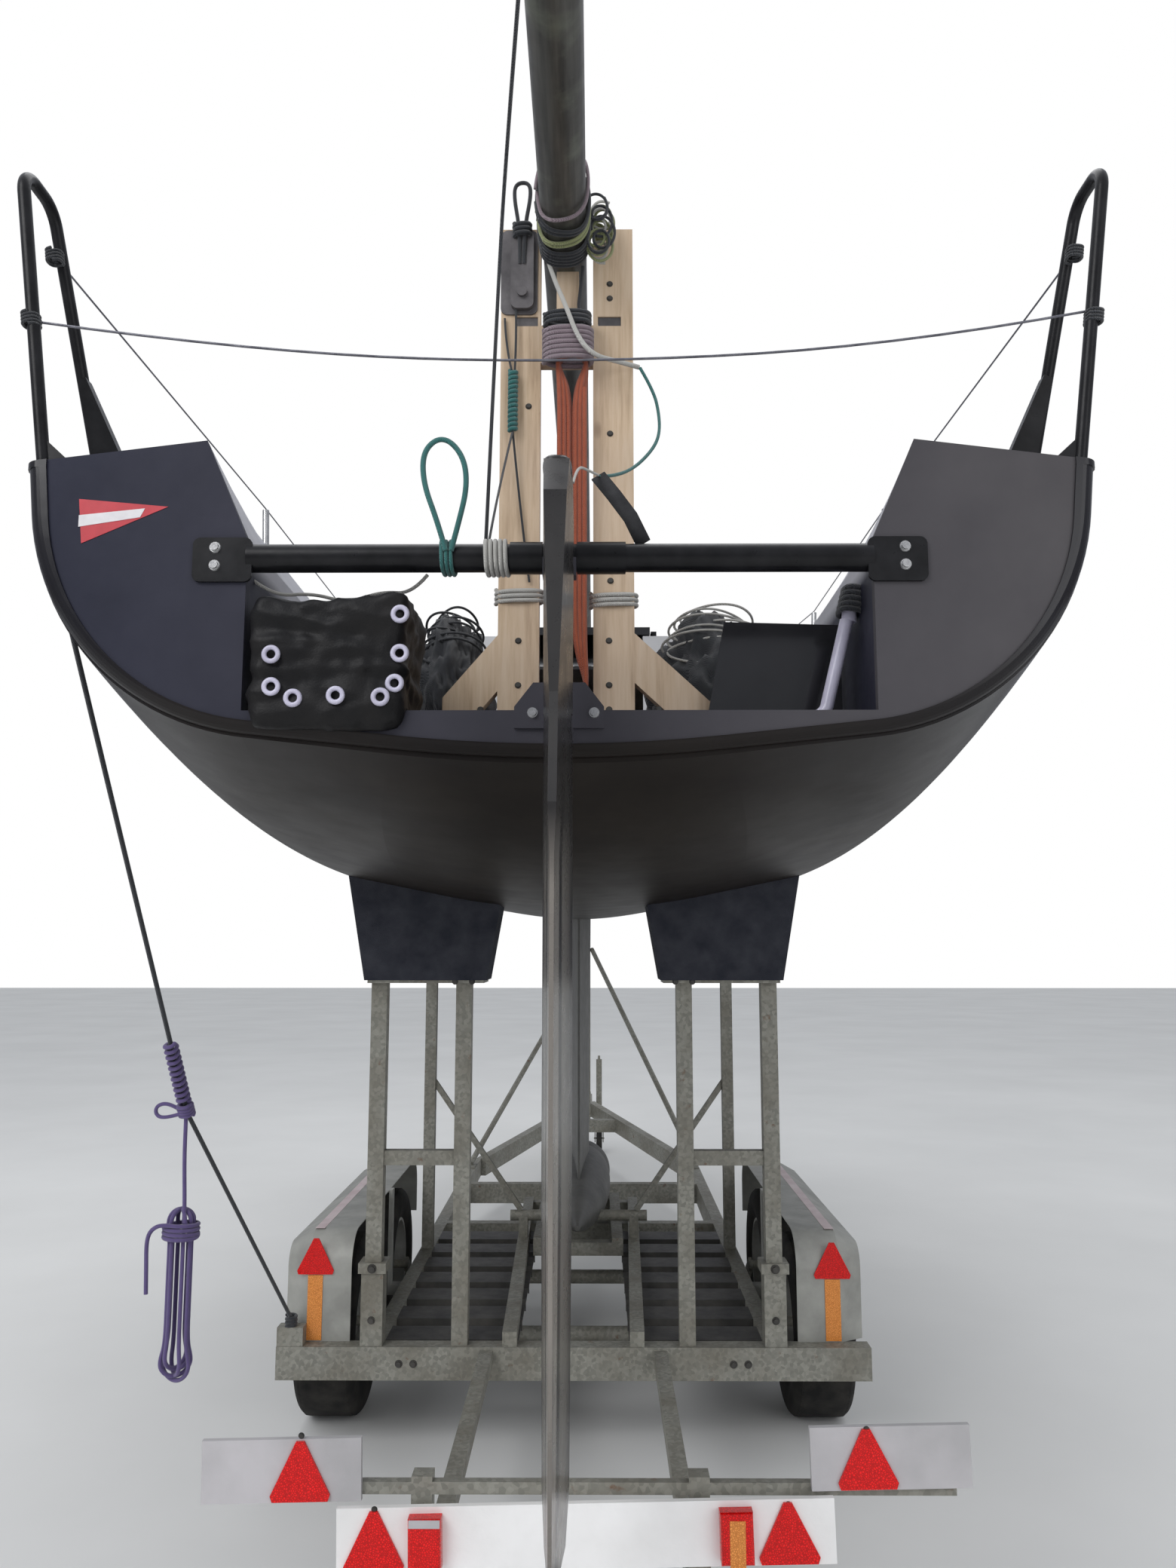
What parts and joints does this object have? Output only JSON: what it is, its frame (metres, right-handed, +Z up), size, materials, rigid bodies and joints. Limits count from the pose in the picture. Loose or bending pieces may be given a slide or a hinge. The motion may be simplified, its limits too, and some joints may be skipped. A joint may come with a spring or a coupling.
{
  "type": "sports keelboat on a road trailer",
  "caption": "Open-transom sports keelboat with its mast lowered on a wooden crutch, standing on a galvanised road trailer with a hanging rudder.",
  "frame": {"origin": "on the ground, at the centre of the whole outline, midway between the mast's two ends", "axes": "+Z up, +Y towards the bow and the trailer's coupling, +X to starboard"},
  "size_m": [2.515, 10, 3.58],
  "materials": {
    "hull_gelcoat": "gloss dark gelcoat",
    "transom_coat": "matte dark slate paint",
    "deck_white": "pale gelcoat with non-slip",
    "smoked_acrylic": "smoked acrylic",
    "window_glass": "dark acrylic pane",
    "keel_paint": "faired keel paint",
    "rudder_carbon": "dark lacquered blade",
    "stainless": "polished stainless steel",
    "black_tube": "black coated tube",
    "mast_alloy": "weathered dark anodised alloy",
    "pine": "weathered pine",
    "bag_cloth": "black coated cloth",
    "galvanised": "weathered hot-dip galvanised steel",
    "dark_steel": "dark painted steel",
    "tyre": "worn rubber tyre",
    "rim_paint": "galvanised steel wheel",
    "pad_foam": "dark foam rubber pad",
    "board_grey": "grey board",
    "board_white": "white board",
    "lamp_red": "red reflector",
    "rope_orange": "faded red-orange rope",
    "pale_tube": "pale lacquered tube",
    "rope_purple": "braided purple rope",
    "rope_dark": "braided dark rope"
  },
  "bodies": {
    "root": {"axles": "galvanised", "bow_post": "galvanised", "cabin_bulkhead": "deck_white", "cabin_sole": "pine", "cabin_windows": "window_glass", "chassis_frame": "galvanised", "coachroof": "deck_white", "cockpit_tub": "transom_coat", "coupling_head": "galvanised", "crutch_fittings": "galvanised", "deck": "deck_white", "drawbar": "galvanised", "foredeck_hatch_frame": "black_tube", "forward_pads": "pad_foam", "forward_supports": "galvanised", "gunwale": "hull_gelcoat", "halyard_hank": "rope_orange", "hank_coil": "rope_purple", "hank_line": "rope_purple", "hatch_runners": "black_tube", "hull_shell": "hull_gelcoat", "jockey_leg": "galvanised", "keel_bulb": "keel_paint", "keel_cradle": "galvanised", "keel_fin": "keel_paint", "lashing": "rope_dark", "light_board_white": "board_white", "light_boards_grey": "board_grey", "mast": "mast_alloy", "mast_bow_prop": "pine", "mast_crutch": "pine", "mudguards": "galvanised", "pulpit": "stainless", "pushpits": "black_tube", "rear_pads": "pad_foam", "rear_supports": "galvanised", "rope_heaps": "rope_dark", "rudder_gudgeons": "stainless", "stanchions": "stainless", "stern_bag": "bag_cloth", "stern_cross_bar": "black_tube", "stowed_tube": "pale_tube", "tail_lamps": "lamp_red", "tail_rails": "galvanised", "trailer_slats": "dark_steel", "transom_panel": "transom_coat", "warning_triangles": "lamp_red", "washboard": "smoked_acrylic"},
    "rudder": {"rudder": "rudder_carbon"},
    "jockey_wheel": {"jockey_wheel": "tyre"},
    "foredeck_hatch": {"foredeck_hatch": "smoked_acrylic"},
    "companion_hatch": {"companion_hatch": "smoked_acrylic"},
    "wheel_rear_port": {"tyre_rear_port": "tyre", "rim_rear_port": "rim_paint"},
    "wheel_rear_starboard": {"tyre_rear_starboard": "tyre", "rim_rear_starboard": "rim_paint"},
    "wheel_front_port": {"tyre_front_port": "tyre", "rim_front_port": "rim_paint"},
    "wheel_front_starboard": {"tyre_front_starboard": "tyre", "rim_front_starboard": "rim_paint"}
  },
  "joints": [
    {"name": "rudder_pintle", "type": "hinge", "parent": "root", "child": "rudder", "pos_m": [0, -3.662, 2.36], "axis": [0, 0, 1], "range_deg": [-38, 38]},
    {"name": "spin_rear_port", "type": "hinge", "parent": "root", "child": "wheel_rear_port", "pos_m": [-0.895, -1.34, 0.32], "axis": [1, 0, 0], "continuous": true},
    {"name": "spin_rear_starboard", "type": "hinge", "parent": "root", "child": "wheel_rear_starboard", "pos_m": [0.895, -1.34, 0.32], "axis": [1, 0, 0], "continuous": true},
    {"name": "spin_front_port", "type": "hinge", "parent": "root", "child": "wheel_front_port", "pos_m": [-0.895, -0.54, 0.32], "axis": [1, 0, 0], "continuous": true},
    {"name": "spin_front_starboard", "type": "hinge", "parent": "root", "child": "wheel_front_starboard", "pos_m": [0.895, -0.54, 0.32], "axis": [1, 0, 0], "continuous": true},
    {"name": "jockey_spin", "type": "hinge", "parent": "root", "child": "jockey_wheel", "pos_m": [0.11, 4.18, 0.11], "axis": [1, 0, 0], "continuous": true},
    {"name": "foredeck_hatch_hinge", "type": "hinge", "parent": "root", "child": "foredeck_hatch", "pos_m": [0, 1.584, 2.97955], "axis": [1, 0, 0], "range_deg": [0, 58]},
    {"name": "companion_hatch_slide", "type": "slide", "parent": "root", "child": "companion_hatch", "axis": [0, 1, 0], "range_m": [0, 0.5]}
  ]
}
